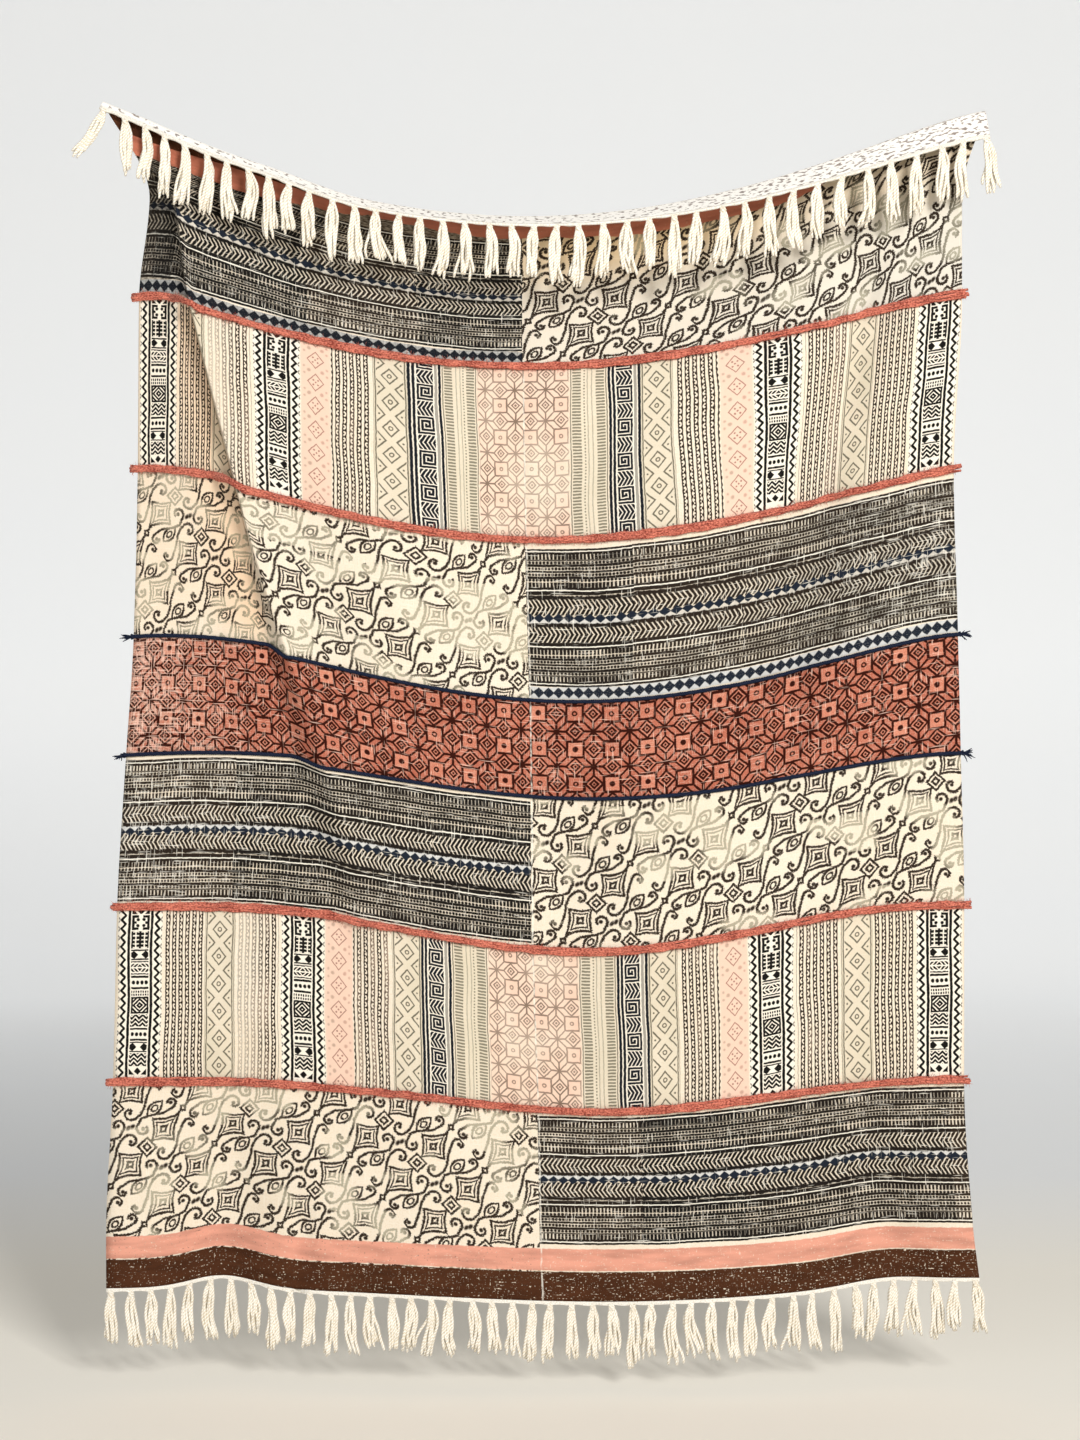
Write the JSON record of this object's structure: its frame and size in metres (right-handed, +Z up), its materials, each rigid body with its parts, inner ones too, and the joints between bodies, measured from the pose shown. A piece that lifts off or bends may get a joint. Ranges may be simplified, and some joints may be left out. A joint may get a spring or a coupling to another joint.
{
  "type": "block printed throw",
  "caption": "Fringed cotton throw hung by its top corners, its top hem folded forward, with couched yarns across its printed face and tassels along both hems.",
  "frame": {"origin": "middle of the folded top edge, on top of the fold", "axes": "+Z up, +X to the right along the top edge as seen from the printed face, +Y from the printed face towards its back"},
  "size_m": [1.346, 0.0874, 1.8368],
  "materials": {
    "printed_cotton": "handloomed cotton, block printed in black, grey, rust, peach and brown on cream",
    "coral_yarn": "fuzzy loosely spun coral yarn",
    "navy_cord": "twisted dark navy cotton cord",
    "ivory_fringe": "ivory cotton yarn, knotted into tassels"
  },
  "bodies": {
    "root": {"cloth": "printed_cotton", "coral_yarn_1": "coral_yarn", "coral_yarn_2": "coral_yarn", "coral_yarn_3": "coral_yarn", "coral_yarn_4": "coral_yarn", "navy_cord_1": "navy_cord", "navy_cord_2": "navy_cord", "top_fringe": "ivory_fringe", "bottom_fringe": "ivory_fringe"}
  },
  "joints": []
}
